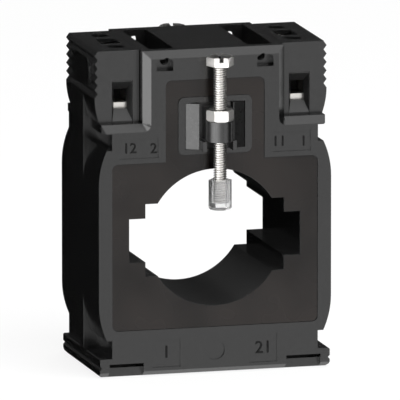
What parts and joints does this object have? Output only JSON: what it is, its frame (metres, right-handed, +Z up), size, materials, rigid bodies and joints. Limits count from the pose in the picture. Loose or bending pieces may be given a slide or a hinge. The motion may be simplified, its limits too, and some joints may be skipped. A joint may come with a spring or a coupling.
{
  "type": "current transformer",
  "caption": "Window-type current transformer in a black moulded case, with clamp terminals under lift-off covers and locking screws over the bar and cable window.",
  "frame": {"origin": "centre of the foot's underside", "axes": "+X across the case to the viewer's right, +Y from the front face to the rear face, +Z up towards the terminals"},
  "size_m": [0.07, 0.0606, 0.0958],
  "materials": {
    "case_plastic": "fine satin, moulded",
    "face_film": "gloss film, blank",
    "core_steel": "rolled strip",
    "winding_copper": "enamelled wire",
    "lead_insulation": "satin",
    "block_plastic": "satin, moulded",
    "bracket_plastic": "satin, moulded",
    "tinned_brass": "tinned",
    "plated_steel": "bright zinc plated",
    "clear_plastic": "clear, polished"
  },
  "bodies": {
    "case": {"front_shell": "case_plastic", "rear_shell": "case_plastic", "front_film": "face_film", "rear_film": "face_film", "wound_core": "core_steel", "secondary_winding": "winding_copper", "left_lead": "lead_insulation", "right_lead": "lead_insulation", "left_terminal_block": "block_plastic", "right_terminal_block": "block_plastic", "left_terminal_bar": "tinned_brass", "right_terminal_bar": "tinned_brass", "front_bracket": "bracket_plastic", "front_nut": "plated_steel", "rear_bracket": "bracket_plastic", "rear_nut": "plated_steel"},
    "left_cover": {"left_cover": "case_plastic"},
    "right_cover": {"right_cover": "case_plastic"},
    "front_tip": {"front_tip": "clear_plastic"},
    "front_locking_screw": {"front_locking_screw": "plated_steel"},
    "rear_tip": {"rear_tip": "clear_plastic"},
    "rear_locking_screw": {"rear_locking_screw": "plated_steel"},
    "left_front_clamp_screw": {"left_front_clamp_screw": "plated_steel"},
    "left_front_cage": {"left_front_cage": "plated_steel"},
    "left_rear_clamp_screw": {"left_rear_clamp_screw": "plated_steel"},
    "left_rear_cage": {"left_rear_cage": "plated_steel"},
    "right_front_clamp_screw": {"right_front_clamp_screw": "plated_steel"},
    "right_front_cage": {"right_front_cage": "plated_steel"},
    "right_rear_clamp_screw": {"right_rear_clamp_screw": "plated_steel"},
    "right_rear_cage": {"right_rear_cage": "plated_steel"}
  },
  "joints": [
    {"name": "left_cover_lift", "type": "slide", "parent": "case", "child": "left_cover", "axis": [0, 0, 1], "range_m": [0, 0.024]},
    {"name": "right_cover_lift", "type": "slide", "parent": "case", "child": "right_cover", "axis": [0, 0, 1], "range_m": [0, 0.024]},
    {"name": "front_screw_travel", "type": "slide", "parent": "case", "child": "front_tip", "axis": [0, 0, 1], "range_m": [-0.0125, 0.011]},
    {"name": "front_screw_turn", "type": "hinge", "parent": "front_tip", "child": "front_locking_screw", "pos_m": [0, -0.0264, 0.0745], "axis": [0, 0, 1], "range_deg": [-6430, 5660]},
    {"name": "rear_screw_travel", "type": "slide", "parent": "case", "child": "rear_tip", "axis": [0, 0, 1], "range_m": [-0.0125, 0.011]},
    {"name": "rear_screw_turn", "type": "hinge", "parent": "rear_tip", "child": "rear_locking_screw", "pos_m": [0, 0.0264, 0.0745], "axis": [0, 0, 1], "range_deg": [-6430, 5660]},
    {"name": "left_front_clamp_turn", "type": "hinge", "parent": "case", "child": "left_front_clamp_screw", "pos_m": [-0.02667, -0.0092, 0.089], "axis": [0, 0, 1], "range_deg": [-2101, 0]},
    {"name": "left_front_cage_lift", "type": "slide", "parent": "case", "child": "left_front_cage", "axis": [0, 0, 1], "range_m": [0, 0.0035]},
    {"name": "left_rear_clamp_turn", "type": "hinge", "parent": "case", "child": "left_rear_clamp_screw", "pos_m": [-0.02667, 0.0092, 0.089], "axis": [0, 0, 1], "range_deg": [-2101, 0]},
    {"name": "left_rear_cage_lift", "type": "slide", "parent": "case", "child": "left_rear_cage", "axis": [0, 0, 1], "range_m": [0, 0.0035]},
    {"name": "right_front_clamp_turn", "type": "hinge", "parent": "case", "child": "right_front_clamp_screw", "pos_m": [0.02667, -0.0092, 0.089], "axis": [0, 0, 1], "range_deg": [-2101, 0]},
    {"name": "right_front_cage_lift", "type": "slide", "parent": "case", "child": "right_front_cage", "axis": [0, 0, 1], "range_m": [0, 0.0035]},
    {"name": "right_rear_clamp_turn", "type": "hinge", "parent": "case", "child": "right_rear_clamp_screw", "pos_m": [0.02667, 0.0092, 0.089], "axis": [0, 0, 1], "range_deg": [-2101, 0]},
    {"name": "right_rear_cage_lift", "type": "slide", "parent": "case", "child": "right_rear_cage", "axis": [0, 0, 1], "range_m": [0, 0.0035]}
  ],
  "couplings": [
    {"joint": "front_screw_turn", "follows": "front_screw_travel", "rad_per_m": 8976},
    {"joint": "rear_screw_turn", "follows": "rear_screw_travel", "rad_per_m": 8976},
    {"joint": "left_front_clamp_turn", "follows": "left_front_cage_lift", "rad_per_m": -10472},
    {"joint": "left_rear_clamp_turn", "follows": "left_rear_cage_lift", "rad_per_m": -10472},
    {"joint": "right_front_clamp_turn", "follows": "right_front_cage_lift", "rad_per_m": -10472},
    {"joint": "right_rear_clamp_turn", "follows": "right_rear_cage_lift", "rad_per_m": -10472}
  ]
}
